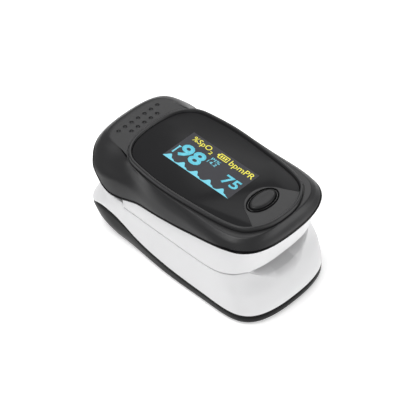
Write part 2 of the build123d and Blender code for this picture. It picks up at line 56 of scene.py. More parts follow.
# Heights, places and radii that several pieces share.
WINDOW_TOP = 27.2
ISLAND_TOP = 27.7
ISLAND_RIM = 0.85
DECK_TOP = 26.6
DISPLAY_Y = -0.85
BUTTON_Y = -17.85
BUTTON_TOP = 27.75
BUTTON_RADII = (4.0, 2.1)
BUTTON_GAP = 0.28
COLLAR_RADII = (4.95, 2.95)
SEAM_HALF_GAP = 0.1
PIVOT_Y = 14.0
PIVOT_Z = 14.8
EAR_RADIUS = 1.8

# Corner shapes as (power, bow): a power of 1 is an ellipse and a smaller one is squarer, and the bow draws
# the corner back, per mm across squared. The turns, in degrees, place a corner's points.
ROUND = (0.667, 0.0)
MIDDLE = (0.5, 0.005)
SQUARE = (0.4, 0.01)
BLUNT = (0.45, 0.0)
CORNER_TURNS = (15, 35, 55, 75)

# Outlines by height: the front's y and corner, (half-width, y) along the side, the tail's y and corner.
HULL = {
    0.0: (-28.24, SQUARE, [(14.34, -14.5), (14.34, 0), (13.24, 12)], 23.4, ROUND),
    0.25: (-28.84, SQUARE, [(14.89, -14.5), (14.89, 0), (13.7, 13)], 24.6, ROUND),
    1.3: (-29.39, SQUARE, [(15.39, -14.5), (15.34, 3), (14.5, 15)], 26.0, ROUND),
    4.5: (-29.14, SQUARE, [(15.59, -14.5), (15.59, 0), (15.45, 15)], 27.4, BLUNT),
    8.0: (-28.04, SQUARE, [(15.64, -14), (15.64, 0), (15.64, 18.5)], 28.4, BLUNT),
    13.0: (-25.34, ROUND, [(15.49, -13), (15.49, 0), (15.5, 13.6)], 26.5, ROUND),
    15.6: (-24.54, ROUND, [(15.34, -12.5), (15.34, 0), (15.24, 14)], 25.9, ROUND),
}
UPPER = {
    13.0: (-24.74, ROUND, [(15.44, -12), (15.49, 0), (15.39, 14)], 26.74, ROUND),
    25.0: (-27.24, ROUND, [(15.64, -14), (15.64, 0), (15.54, 14)], 27.34, ROUND),
}
COVER = {
    16.0: (-28.14, SQUARE, [(16.34, -15), (16.44, -5), (16.44, 5), (16.34, 15), (16.54, 19.5)],
           29.39, SQUARE),
    21.0: (-28.09, SQUARE, [(16.34, -15), (16.34, -5), (16.14, 5), (15.34, 14.5), (16.49, 19.5)],
           29.39, SQUARE),
    23.8: (-27.84, SQUARE, [(16.09, -15), (15.84, -4.5), (15.34, 5), (13.3, 14.8), (14.34, 20.3)],
           29.34, SQUARE),
    25.6: (-26.34, MIDDLE, [(15.14, -13.5), (14.94, -4), (14.7, 4.5), (12.45, 14.6), (12.24, 20.3)],
           28.44, SQUARE),
    26.6: (-25.59, MIDDLE, [(13.84, -12.5), (14.14, -4), (14.14, 4), (12.34, 13.8), (10.44, 19.2)],
           27.14, MIDDLE),
}
# The +X half of the raised island's outline, and of the window's edge round the button, as (x, y).
ISLAND = [(0, -25.25), (4.3, -24.85), (7.6, -23.5), (10.2, -21.5), (11.8, -18.0), (12.5, -14.2),
          (13.1, -8), (13.6, 0), (13.55, 5), (13.0, 10.5), (11.9, 14.9), (10.3, 16.9), (8.4, 18.2),
          (4.6, 19.4), (0, 19.75)]
WINDOW_CUT = [(0, -14.15), (2.8, -14.8), (5.0, -16.75), (6.4, -19.3), (7.6, -21.4), (9.2, -24.5)]
BAY_POINTS = 37

# Side profiles as (y, height): the cover's lower rim, the seam between the white frames, the lower frame's
# top with its tail wall, and the top edge of the black bottom cover.
RIM_PROFILE = [(-32, 23.6), (-28.2, 23.3), (-24.5, 23.9), (-21.8, 24.0), (-19.2, 23.7), (-12.8, 22.4),
               (-6, 21.1), (-0.8, 20.4), (4, 19.7), (8, 18.9), (12, 17.5), (15, 16.6), (17.2, 16.4),
               (19.6, 17.4), (21.6, 19.5), (23.6, 21.4), (25.6, 23.0), (28.6, 24.2), (32, 24.6)]
SEAM_PROFILE = [(-32, 15.6), (-24, 14.7), (-18, 13.95), (-10, 13.6), (10, 13.6), (32, 13.6)]
LOWER_TOP = SEAM_PROFILE[:-1] + [(14.1, 13.6), (14.25, 15.0), (32, 15.0)]
LEAF_PROFILE = [(-32, 2.8), (-24, 2.95), (-16, 3.2), (-8, 3.3), (-2, 3.6), (2, 4.0), (6.5, 4.7),
                (9.6, 5.6), (13, 7.1), (15.7, 8.2), (18.4, 9.0), (20.8, 9.3), (23, 8.9), (25, 8.0),
                (32, 6.8)]
# The finger's way in, as (y, half-width, floor): a steep band round a shallow recess.
SCOOP_BAND = [(-30.5, 15.2, 5.2), (-26.95, 12.9, 9.8), (-25.6, 12.0, 11.1), (-23.3, 10.9, 13.2)]
SCOOP_RECESS = [(-28.0, 9.4, 10.4), (-25.6, 9.4, 11.0), (-22.9, 9.4, 12.0), (-21.8, 9.4, 12.2)]
SCOOP_TOP = 14.9

# The cover: inside height, wall, levels of its skin, and the fine groove above its lip.
COVER_CEILING = 25.2
COVER_WALL = 1.0
SKIN_LEVELS = 22
LIP_HEIGHT = 0.5
GROOVE_TOP = 0.8
# The lip's cross-section as (height over the rim, growth).
LIP_SECTION = ((0.1, -0.5), (0.0, -0.3), (-0.02, -0.06), (0.08, 0.03), (0.26, 0.05), (0.46, 0.04),
               (0.58, -0.04), (0.58, -0.5))
# The grip's dimples: (y, count) of each row, the pitch, and the balls that cut them.
DIMPLE_ROWS = ((24.0, 7), (21.75, 5))
DIMPLE_PITCH = 2.22
DIMPLE_RADIUS = 0.62
DIMPLE_LIFT = 0.22

# The upper frame: its wall, the rounding of the wall's edges, how far the wall goes up inside the cover,
# how high the inner walls reach, and the skirt's lower and upper ends.
FRAME_WALL = 1.25
FRAME_LEVELS = 14
LOW_ROUND = 0.3
HIGH_ROUND = 0.1
RIM_OVERLAP = 0.45
INNER_TOP = 19.8
SKIRT_LOW = 12.6
SKIRT_HIGH = 19.9
# The lower frame and the bottom cover: the deck, the height inside it where posts and ears start, the
# door's half-width, and the (x, y) of the screw wells on one side.
DECK_Z = 12.4
POST_Z = 12.3
DOOR_HALF = 10.7
WELLS = ((12.7, -18.5), (12.7, 9.5))
WELL_RADIUS = 1.15

# The soft pads: half-width, ends, rounded nose, half-width of the finger's trough, and ribs.
PAD_HALF = 10.88
PAD_FRONT = -22.4
PAD_BACK = 6.9
PAD_NOSE = 1.2
FINGER_HALF = 9.4
RIB_PITCH = 1.8
RIB_HEIGHT = 0.03

# The display: u runs along the reading direction (-Y), and v runs up the letters (+X).
PANEL_LENGTH = 21.74
PANEL_HEIGHT = 10.86
PANEL_TOP = WINDOW_TOP + 0.012
GLYPH_TOP = WINDOW_TOP + 0.03
GLYPH_DEPTH = 0.04
# The pulse humps: count, first peak, pitch, points to each, and the heights of peak and foot.
PULSES = 5
PULSE_FIRST = 1.45
PULSE_PITCH = 4.3
PULSE_POINTS = 24
PULSE_HEIGHT = 1.45
PULSE_FOOT = 0.25
# Words on the display as (name, text, left, right, bottom, top), and how much the letters are thickened.
YELLOW_WORDS = (
    ("legend_oxygen", "%SpO", 1.4, 7.3, 8.1, 10.2),
    ("legend_two", "2", 7.55, 8.4, 7.9, 8.9),
    ("legend_pulse", "bpmPR", 13.7, 21.3, 7.9, 10.2),
)
CYAN_WORDS = (
    ("reading_oxygen", "98", 1.5, 8.8, 2.4, 7.1, 0.03),
    ("reading_pulse", "75", 16.1, 20.9, 3.0, 6.05, 0.02),
    ("legend_index", "PI%", 9.5, 12.3, 6.75, 7.7),
    ("reading_index", "14.2", 9.3, 12.1, 5.6, 6.5),
)
# The level bar beside the oxygen reading, as (u, v).
LEVEL_BAR = ((0.75, 2.3), (1.15, 2.3), (1.15, 4.6), (1.55, 5.2), (0.6, 5.2), (0.75, 4.8))
# The charge icon's strips as (name, left, right, bottom, top).
CHARGE_ICON = (
    ("charge_top", 10.0, 13.0, 10.0, 10.2),
    ("charge_low", 10.0, 13.0, 8.5, 8.7),
    ("charge_end", 12.8, 13.0, 8.7, 10.0),
    ("charge_start", 10.0, 10.2, 8.7, 10.0),
    ("charge_nose", 9.6, 9.98, 9.05, 9.65),
    ("charge_bar_1", 10.6, 11.0, 8.95, 9.75),
    ("charge_bar_2", 11.3, 11.7, 8.95, 9.75),
    ("charge_bar_3", 12.0, 12.4, 8.95, 9.75),
)

# The stage, in metres: lights as (name, place, side, watts), floor, and camera.
LIGHTS = (
    ("key", (-0.2, 0.1, 0.7), 0.4, 3.2),
    ("fill", (-0.6, -0.5, 0.3), 0.4, 0.6),
    ("front", (0.5, -0.8, 0.2), 0.5, 2.6),
    ("back", (0.42, 0.3, 0.5), 0.4, 1.2),
)
LIGHT_AIM = (0, 0, 0.015)
FLOOR_HALF = 6.0
FLOOR_Z = -0.00003
CAMERA_AZIMUTH = math.radians(-45.88)
CAMERA_ELEVATION = math.radians(45.31)
CAMERA_DISTANCE = 0.45
CAMERA_AIM = (-0.01082, -0.01045, 0.0272)
CAMERA_LENS_MM = 166.45
CAMERA_SENSOR_MM = 36


# ---- curves and rings ----

def slopes(xs, ys):
    """Slopes at the knots of a shape-preserving cubic through them."""
    steps = np.diff(ys, axis=0) / np.diff(xs).reshape(-1, *[1] * (ys.ndim - 1))
    product = steps[:-1] * steps[1:]
    total = np.where(product > 0, steps[:-1] + steps[1:], 1.0)
    inner = np.where(product > 0, 2 * product / total, 0.0)
    return np.concatenate([steps[:1], inner, steps[-1:]])


def along(profile, x):
    """The height of a profile at each x."""
    xs, ys = np.array(profile, float).T
    return hermite(xs, ys[:, None], np.atleast_1d(x))


def cubic(t, start, end, start_slope, end_slope):
    """A cubic from start to end with the given slopes, at t from 0 to 1."""
    value = ((2 * t - 3) * t * t + 1) * start + (t - 2) * t * t * start_slope + t * start_slope
    return value + ((3 - 2 * t) * t * t * end + (t - 1) * t * t * end_slope)


def hermite(xs, ys, x):
    """Values at each x; ys has one row per knot, and either one column or one column per x."""
    tangent = slopes(xs, ys)
    x = np.clip(x, xs[0], xs[-1])
    span = np.clip(np.searchsorted(xs, x, side="right") - 1, 0, len(xs) - 2)
    width = xs[span + 1] - xs[span]
    t = (x - xs[span]) / width
    column = np.arange(len(x)) if ys.shape[1] == len(x) else np.zeros(len(x), int)
    return cubic(t, ys[span, column], ys[span + 1, column],
                 tangent[span, column] * width, tangent[span + 1, column] * width)


def closed_curve(points, steps=SPAN_STEPS):
    """Points of a smooth closed cubic through the given ones, steps to each span."""
    knots = np.array(points, float)
    count = len(knots)
    length = np.linalg.norm(np.roll(knots, -1, axis=0) - knots, axis=1)
    before = np.roll(length, 1)
    rows = np.zeros((count, count))
    right = np.zeros((count, 2))
    for i in range(count):
        rows[i, i - 1] += length[i]
        rows[i, i] += 2 * (length[i] + before[i])
        rows[i, (i + 1) % count] += before[i]
        right[i] = 3 * (before[i] * (knots[(i + 1) % count] - knots[i]) / length[i]
                        + length[i] * (knots[i] - knots[i - 1]) / before[i])
    tangent = np.linalg.solve(rows, right)
    result = []
    for i in range(count):
        a, b = knots[i], knots[(i + 1) % count]
        da, db = tangent[i] * length[i], tangent[(i + 1) % count] * length[i]
        for k in range(steps):
            result.append(cubic(k / steps, a, b, da, db))
    return np.array(result)


def corner(side, end_y, shape):
    """Points from the middle of an end round to its side."""
    power, bow = shape
    half, centre = side
    way = math.copysign(1, end_y - centre)
    points = [(0, end_y)]
    for turn in CORNER_TURNS:
        across = half * math.sin(math.radians(turn)) ** power
        reach = abs(end_y - centre) * math.cos(math.radians(turn)) ** power
        points.append((across, centre + way * (reach - bow * across ** 2)))
    return points


def half_outline(front_y, front_corner, sides, tail_y, tail_corner):
    """The +X half of an outline: the front corner, the side, the tail corner."""
    return corner(sides[0], front_y, front_corner) + sides + corner(sides[-1], tail_y, tail_corner)[::-1]


def mirrored(half):
    """A half outline and its mirror image, as one closed ring of points."""
    return list(half) + [(-x, y) for x, y in reversed(half[1:-1])]


def table_rings(table):
    """The heights of a table and its smooth rings, one row of points to each height."""
    heights = np.array(sorted(table), float)
    rings = np.array([closed_curve(mirrored(half_outline(*table[z]))) for z in sorted(table)])
    return heights, rings


def ring_at(rings, z):
    """The ring where column j is at height z[j]."""
    heights, plan = rings
    z = np.broadcast_to(np.asarray(z, float), plan.shape[1:2])
    x = hermite(heights, plan[:, :, 0], z)
    y = hermite(heights, plan[:, :, 1], z)
    return np.column_stack([x, y, z])


def profile_heights(rings, profile, shift=0.0):
    """Where each column of a skin crosses a side profile."""
    z = np.full(rings[1].shape[1], float(rings[0].mean()))
    for _ in range(TRACE_ROUNDS):
        y = ring_at(rings, z)[:, 1]
        z = (1 - TRACE_PULL) * z + TRACE_PULL * (along(profile, y) + shift)
    return z


def outward(ring):
    """Unit normals in plan of a closed ring that runs anticlockwise."""
    tangent = np.roll(ring[:, :2], -1, axis=0) - np.roll(ring[:, :2], 1, axis=0)
    tangent /= np.maximum(np.linalg.norm(tangent, axis=1), 1e-9)[:, None]
    return np.column_stack([tangent[:, 1], -tangent[:, 0]])


def offset(ring, amount, z=None):
    """A ring moved out in plan by an amount, at its own heights or at new ones."""
    moved = ring.copy()
    moved[:, :2] += outward(ring) * amount
    if z is not None:
        moved[:, 2] = z
    return moved


def closed_lengths(ring):
    """A ring with its first point repeated, and the fraction of its length at each point."""
    closed = np.vstack([ring, ring[:1]])
    steps = np.linalg.norm(np.diff(closed[:, :2], axis=0), axis=1)
    length = np.concatenate([[0], np.cumsum(steps)])
    return closed, length / length[-1]


def resampled(ring, fractions):
    """Points of a closed ring at fractions of its length, from its first point."""
    closed, length = closed_lengths(ring)
    return np.column_stack([np.interp(fractions, length, values) for values in closed.T])


def fractions_of(ring):
    """The fraction of a ring's length at each of its points."""
    return closed_lengths(ring)[1][:-1]


def flat(ring, z):
    """A plan ring at one height."""
    return np.column_stack([ring[:, 0], ring[:, 1], np.full(len(ring), float(z))])


def mix(a, b, t):
    """A ring between two others."""
    return a + (b - a) * t


# ---- meshes ----

def raw_mesh(name, verts, faces):
    """A mesh in metres from vertices in millimetres."""
    mesh = bpy.data.meshes.new(name)
    mesh.from_pydata([tuple(float(c) * MM for c in v) for v in verts], [], faces)
    return mesh


def shade(mesh):
    """Shades a mesh smooth, except over its sharp edges."""
    mesh.polygons.foreach_set("use_smooth", [True] * len(mesh.polygons))
    mesh.set_sharp_from_angle(angle=SHARP_EDGE)


def place_mesh(name, mesh, body=None):
    """Puts a mesh in the scene as an object, riding on a body if one is given."""
    piece = bpy.data.objects.new(name, mesh)
    bpy.context.scene.collection.objects.link(piece)
    if body:
        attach(piece, body)
    return piece


def new_object(name, verts, faces, body=None):
    """A smooth-shaded mesh object from millimetres."""
    mesh = raw_mesh(name, verts, faces)
    mesh.validate()
    work = bmesh.new()
    work.from_mesh(mesh)
    bmesh.ops.remove_doubles(work, verts=work.verts, dist=1e-7)
    bmesh.ops.recalc_face_normals(work, faces=work.faces)
    work.to_mesh(mesh)
    work.free()
    shade(mesh)
    return place_mesh(name, mesh, body)


def rows_mesh(rows, caps=False, closed=False):
    """Vertices and faces of rings joined in order.

    Caps run straight across from side to side. A closed band joins its last ring to its first.
    """
    count = len(rows[0])
    verts = [tuple(p) for row in rows for p in row]
    faces = []
    for a in range(len(rows) if closed else len(rows) - 1):
        b = (a + 1) % len(rows)
        for i in range(count):
            j = (i + 1) % count
            faces.append((a * count + i, a * count + j, b * count + j, b * count + i))
    if caps:
        for start in (0, len(verts) - count):
            for i in range(count // 2):
                left, next_left = (count - i) % count, count - i - 1
                quad = [start + i, start + i + 1, start + next_left, start + left]
                faces.append(tuple(dict.fromkeys(quad)))
    return verts, faces


def joined(*meshes):
    """Several (verts, faces) lists as one."""
    verts, faces = [], []
    for more_verts, more_faces in meshes:
        base = len(verts)
        verts += list(more_verts)
        faces += [tuple(i + base for i in face) for face in more_faces]
    return verts, faces


def ellipse(radii, count=OVAL_POINTS, centre=(0.0, 0.0)):
    """A plan ring in the shape of an ellipse, starting at its front."""
    turn = np.arange(count) / count * 2 * math.pi - math.pi / 2
    return np.column_stack([centre[0] + radii[0] * np.cos(turn), centre[1] + radii[1] * np.sin(turn)])


def lidded(rows):
    """Rings joined in order, with one flat face over each end."""
    verts, faces = rows_mesh(rows)
    count = len(rows[0])
    return verts, faces + [tuple(range(count)), tuple(range(len(verts) - count, len(verts)))]


def solid_prism(ring, z0, z1):
    """An upright prism over a plan ring."""
    return lidded([flat(ring, z0), flat(ring, z1)])


def ball(centre, radius, rings=12, count=20):
    """A closed ball."""
    rows = []
    for k in range(1, rings):
        turn = math.pi * k / rings
        plan = ellipse((radius * math.sin(turn),) * 2, count, centre[:2])
        rows.append(flat(plan, centre[2] - radius * math.cos(turn)))
    return rows_mesh(rows, caps=True)


def carve(piece, cutter_mesh, name):
    """Cuts the piece with a closed mesh and keeps the result as its own mesh."""
    cutter = new_object(name, *cutter_mesh)
    cut = piece.modifiers.new("cut", "BOOLEAN")
    cut.operation = "DIFFERENCE"
    cut.solver = "EXACT"
    cut.object = cutter
    bpy.context.view_layer.update()
    evaluated = piece.evaluated_get(bpy.context.evaluated_depsgraph_get())
    mesh = bpy.data.meshes.new_from_object(evaluated)
    piece.modifiers.clear()
    piece.data = mesh
    shade(mesh)
    bpy.data.objects.remove(cutter)


def finish_piece(piece, material, slot, *replaced):
    """Gives a new piece its material and hides the nodes that it stands for. The slot argument is not used.
    """
    piece.data.materials.clear()
    piece.data.materials.append(material)
    if replaced:
        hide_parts(*replaced)


# ---- materials ----

def noise(tree, scale, detail):
    """A noise texture over the object's own coordinates."""
    place = tree.nodes.new("ShaderNodeTexCoord")
    texture = tree.nodes.new("ShaderNodeTexNoise")
    texture.inputs["Scale"].default_value = scale
    texture.inputs["Detail"].default_value = detail
    tree.links.new(place.outputs["Object"], texture.inputs["Vector"])
    return texture.outputs["Fac"]


def scaled(colour, amount):
    """A colour made darker or paler."""
    return [min(1.0, c * amount) for c in colour]


def tones(tree, factor, ends, colours):
    """A blend from one colour to another, as the factor goes from one end to the other."""
    ramp = tree.nodes.new("ShaderNodeValToRGB")
    for element, position, colour in zip(ramp.color_ramp.elements, ends, colours):
        element.position = position
        element.color = (*colour, 1)
    tree.links.new(factor, ramp.inputs["Fac"])
    return ramp.outputs["Color"]


def painted_edge_highlight(tree, base, colour, edge_highlight):
    """The base colour, paler along the edges that stick out: a painted highlight where those edges catch the
    light.
    """
    geometry = tree.nodes.new("ShaderNodeNewGeometry")
    edge = tree.nodes.new("ShaderNodeMapRange")
    edge.inputs["From Min"].default_value = 0.52
    edge.inputs["From Max"].default_value = 0.62
    edge.inputs["To Max"].default_value = edge_highlight
    tree.links.new(geometry.outputs["Pointiness"], edge.inputs["Value"])
    highlit = tree.nodes.new("ShaderNodeMix")
    highlit.data_type = "RGBA"
    highlit.inputs["B"].default_value = (*[min(1.0, c * 1.6 + 0.02) for c in colour], 1)
    tree.links.new(edge.outputs["Result"], highlit.inputs["Factor"])
    tree.links.new(base, highlit.inputs["A"])
    return highlit.outputs["Result"]


def grained(name, colour, rough, grain=0.03, scale=5200.0, spread=0.08, metallic=0.0, coat=0.0,
            specular=0.5, edge_highlight=0.0):
    """Moulded or metal surface: fine grain in the bump, uneven colour and roughness, and a painted highlight
    on the edges that stick out.
    """
    material = bpy.data.materials.new(name)
    material.use_nodes = True
    tree = material.node_tree
    shader = tree.nodes["Principled BSDF"]
    shader.inputs["Metallic"].default_value = metallic
    shader.inputs["Coat Weight"].default_value = coat
    shader.inputs["Coat Roughness"].default_value = 0.08
    shader.inputs["Specular IOR Level"].default_value = specular
    fine = noise(tree, scale, 4.0)
    broad = noise(tree, 90.0, 3.0)
    base = tones(tree, broad, (0.3, 0.7), (scaled(colour, 1 - spread), scaled(colour, 1 + spread)))
    # Edges that stick out are made paler here: a painted highlight.
    if edge_highlight:
        base = painted_edge_highlight(tree, base, colour, edge_highlight)
    tree.links.new(base, shader.inputs["Base Color"])
    gloss = tree.nodes.new("ShaderNodeMapRange")
    gloss.inputs["To Min"].default_value = max(0.02, rough - 0.05)
    gloss.inputs["To Max"].default_value = min(1.0, rough + 0.05)
    tree.links.new(fine, gloss.inputs["Value"])
    tree.links.new(gloss.outputs["Result"], shader.inputs["Roughness"])
    bump = tree.nodes.new("ShaderNodeBump")
    bump.inputs["Strength"].default_value = 1.0
    bump.inputs["Distance"].default_value = grain * MM
    tree.links.new(fine, bump.inputs["Height"])
    tree.links.new(bump.outputs["Normal"], shader.inputs["Normal"])
    return material


def glowing(name, colour, strength):
    """Lit display dots: their own light, slightly uneven from dot to dot."""
    material = grained(name, scaled(colour, 0.2), 0.35, grain=0.0)
    tree = material.node_tree
    shader = tree.nodes["Principled BSDF"]
    dots = tones(tree, noise(tree, 1500.0, 2.0), (0.25, 0.6), (scaled(colour, 0.93), colour))
    tree.links.new(dots, shader.inputs["Emission Color"])
    shader.inputs["Emission Strength"].default_value = strength
    return material


def srgb(*values):
    """Linear colour from 0-255 display values."""
    result = []
    for value in values:
        v = value / 255
        result.append(v / 12.92 if v <= 0.04045 else ((v + 0.055) / 1.055) ** 2.4)
    return tuple(result)


BOARD_GREEN = srgb(18, 70, 42)
WRAP_BLUE = srgb(38, 66, 120)
NICKEL = srgb(190, 188, 182)

# The black cover, the bottom cover and the button are paler along their edges that stick out: a painted
# highlight.
COVER_BLACK = grained("cover_black_grain", srgb(42, 42, 43), 0.36, grain=0.012, edge_highlight=0.08, spread=0.05,
                      specular=0.3)
LIP = grained("lip_gloss_black", srgb(9, 9, 10), 0.12, grain=0.002, spread=0.04, specular=0.12)
BOTTOM_BLACK = grained("bottom_black_grain", srgb(22, 22, 23), 0.36, grain=0.012, edge_highlight=0.08, spread=0.05,
                       specular=0.12)
WHITE = grained("frame_white_satin", srgb(223, 223, 224), 0.4, grain=0.006, spread=0.012)
WINDOW = grained("window_gloss_black", srgb(40, 40, 41), 0.2, grain=0.0008, spread=0.04, specular=0.06)
PANEL = grained("display_panel_grey", srgb(66, 66, 70), 0.3, grain=0.001, spread=0.04, specular=0.06)
BUTTON = grained("button_black_satin", srgb(38, 38, 39), 0.36, grain=0.008, edge_highlight=0.12, spread=0.05,
                 specular=0.25)
PAD = grained("pad_grey_rubber", srgb(182, 182, 184), 0.75, grain=0.02, spread=0.03)
CYAN = glowing("display_cyan", srgb(104, 205, 226), 0.85)
YELLOW = glowing("display_yellow", srgb(240, 230, 60), 0.95)

# The finish of each CAD node that is shown as it is.
NODE_FINISH = {
    "oled_display": grained("oled_glass_finish", srgb(20, 22, 26), 0.12, grain=0.0005, coat=0.5),
    "oled_foam": grained("foam_finish", srgb(24, 24, 24), 0.95, grain=0.08, scale=2500),
    "main_board": grained("board_finish", BOARD_GREEN, 0.45, grain=0.01, coat=0.2),
    "microcontroller": grained("chip_finish", srgb(22, 22, 23), 0.6, grain=0.02),
    "board_parts": grained("parts_finish", srgb(150, 120, 84), 0.5, grain=0.01),
    "tact_switch": grained("switch_metal_finish", srgb(170, 172, 175), 0.3, metallic=1.0, grain=0.004),
    "switch_plunger": grained("plunger_finish", srgb(25, 25, 26), 0.5),
    "emitter_board": grained("emitter_board_finish", BOARD_GREEN, 0.45, grain=0.01, coat=0.2),
    "emitter_leds": grained("emitter_finish", srgb(210, 205, 190), 0.2, coat=0.5, grain=0.002),
    "emitter_window": grained("emitter_window_finish", srgb(70, 20, 22), 0.1, coat=0.8, grain=0.001),
    "flex_cable": grained("flex_finish", srgb(170, 96, 30), 0.35, grain=0.003),
    "upper_screws": grained("upper_screw_finish", srgb(150, 150, 152), 0.28, metallic=1.0, grain=0.004),
    "lower_screws": grained("lower_screw_finish", srgb(60, 60, 62), 0.3, metallic=1.0, grain=0.004),
    "battery_door": BOTTOM_BLACK,
    "battery_left": grained("battery_left_wrap", WRAP_BLUE, 0.3, metallic=0.6, grain=0.003, coat=0.3),
    "battery_right": grained("battery_right_wrap", WRAP_BLUE, 0.3, metallic=0.6, grain=0.003, coat=0.3),
    "battery_springs": grained("spring_nickel", NICKEL, 0.25, metallic=1.0, grain=0.003),
    "battery_plates": grained("plate_nickel", NICKEL, 0.3, metallic=1.0, grain=0.003),
    "battery_bridge": grained("bridge_nickel", NICKEL, 0.3, metallic=1.0, grain=0.003),
    "detector_board": grained("detector_board_finish", BOARD_GREEN, 0.45, grain=0.01, coat=0.2),
    "detector_sensor": grained("sensor_finish", srgb(20, 18, 22), 0.15, coat=0.5, grain=0.001),
    "detector_window": grained("sensor_window_finish", srgb(42, 14, 18), 0.1, coat=0.8, grain=0.001),
    "hinge_pin": grained("pin_steel_finish", srgb(168, 170, 173), 0.25, metallic=1.0, grain=0.003),
    "clip_spring": grained("spring_steel_finish", srgb(150, 152, 155), 0.3, metallic=1.0, grain=0.003),
}
for node, material in NODE_FINISH.items():
    node_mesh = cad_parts[node].data
    for index in range(max(1, len(node_mesh.materials))):
        if index < len(node_mesh.materials):
            node_mesh.materials[index] = material
        else:
            node_mesh.materials.append(material)


# ---- upper cover ----

def window_outline(shrink):
    """The window's outline: the island's inner outline, with a bay round the button."""
    inner = offset(flat(closed_curve(mirrored(ISLAND), ISLAND_STEPS), 0), -shrink)[:, :2]
    bay = [(-x, y) for x, y in reversed(WINDOW_CUT[1:])] + WINDOW_CUT
    right = inner[:len(inner) // 2 + 1]
    side = right[right[:, 1] > along(bay, right[:, 0])]
    xs = np.linspace(0, side[0, 0], BAY_POINTS)[:-1]
    half = list(zip(xs, along(bay, xs))) + [tuple(p) for p in side]
    # The last point sits exactly on the centre line.
    half[-1] = (0.0, half[-1][1])
    return np.array(mirrored(half))


def rim_rows(rings, rim):
    """The cover's lower edge: from inside, under the lip, and up past the fine groove above it."""
    edge = ring_at(rings, rim)
    rows = [offset(edge, out, rim + up) for up, out in
            ((0.12, -0.66), (0.0, -0.5), (0.0, -0.22), (0.08, -0.06))]
    rows += [offset(ring_at(rings, rim + up), out) for up, out in
             ((0.25, 0.0), (LIP_HEIGHT, 0.0), (0.56, -0.1), (0.74, -0.1), (GROOVE_TOP, 0.0))]
    return rows


def deck_rows(edge, top):
    """The deck, the groove round the island, and the island's rim down to the window's seat."""
    island = resampled(closed_curve(mirrored(ISLAND), ISLAND_STEPS), fractions_of(edge))
    base = flat(island, top)
    shoulder, step = offset(flat(edge, top - 0.02), -0.06), offset(base, 0.32)
    rows = [shoulder] + [flat(mix(shoulder, step, t), top) for t in (0.15, 0.4, 0.7, 1.0)]
    rows += [offset(base, out, z) for out, z in
             ((0.27, top - 0.22), (0.06, top - 0.22), (0.0, top - 0.1), (-0.04, ISLAND_TOP - 0.22),
              (-0.1, ISLAND_TOP - 0.08), (-0.22, ISLAND_TOP), (-0.5, ISLAND_TOP),
              (-0.68, ISLAND_TOP - 0.05), (-0.8, ISLAND_TOP - 0.2),
              (-ISLAND_RIM, WINDOW_TOP + 0.05), (-ISLAND_RIM - 0.05, WINDOW_TOP))]
    return rows


def cover_cutters():
    """The window's seat, the button's hole and the grip's dimples."""
    hole = ellipse([radius + BUTTON_GAP for radius in BUTTON_RADII], centre=(0, BUTTON_Y))
    cutters = [solid_prism(window_outline(ISLAND_RIM + 0.04), WINDOW_TOP - 1.0, WINDOW_TOP + 0.3),
               solid_prism(hole, 24.0, WINDOW_TOP + 0.4)]
    for row_y, count in DIMPLE_ROWS:
        for i in range(count):
            x = (i - (count - 1) / 2) * DIMPLE_PITCH
            cutters.append(ball((x, row_y, DECK_TOP + DIMPLE_LIFT), DIMPLE_RADIUS))
    return joined(*cutters)


def build_cover():
    """The black upper cover as one closed shell, with its groove, island, recess and dimples."""
    rings = table_rings(COVER)
    rim = profile_heights(rings, RIM_PROFILE)
    top = rings[0][-1]
    rows = []
    for t in (1.0, 0.75, 0.5, 0.25, 0.0):
        z = rim + LIP_HEIGHT + (COVER_CEILING - rim - LIP_HEIGHT) * t
        rows.append(offset(ring_at(rings, z), -COVER_WALL if t > 0 else -0.72))
    rows += rim_rows(rings, rim)
    for t in np.linspace(0, 1, SKIN_LEVELS)[1:]:
        rows.append(ring_at(rings, rim + GROOVE_TOP + (top - 0.12 - rim - GROOVE_TOP) * t))
    rows += deck_rows(rings[1][-1], top)
    cover = new_object("top_cover_shell", *rows_mesh(rows, caps=True), "upper")
    carve(cover, cover_cutters(), "cover_cutter")
    finish_piece(cover, COVER_BLACK, "cover_black", "top_cover")


def build_lip():
    """The thin glossy lip that runs all round the cover's lower edge."""
    rings = table_rings(COVER)
    rim = profile_heights(rings, RIM_PROFILE)
    rows = [offset(ring_at(rings, rim + up), out) for up, out in LIP_SECTION]
    lip = new_object("cover_lip", *rows_mesh(rows, closed=True), "upper")
    finish_piece(lip, LIP, "cover_black")


def build_window():
    """The glossy window plate with a rounded edge, in its groove."""
    outline = window_outline(ISLAND_RIM + 0.2)
    ring = flat(outline, WINDOW_TOP)
    rows = [flat(outline, WINDOW_TOP - 0.95), flat(outline, WINDOW_TOP - 0.1),
            offset(ring, -0.03, WINDOW_TOP - 0.03), offset(ring, -0.1, WINDOW_TOP)]
    window = new_object("display_window_plate", *lidded(rows), "upper")
    finish_piece(window, WINDOW, "window_gloss", "display_window")


def oval_rows(radii, profile):
    """Rings of an oval turned shape at the button; the profile is (growth of both radii, height)."""
    return [flat(ellipse((radii[0] + grow, radii[1] + grow), centre=(0, BUTTON_Y)), z)
            for grow, z in profile]


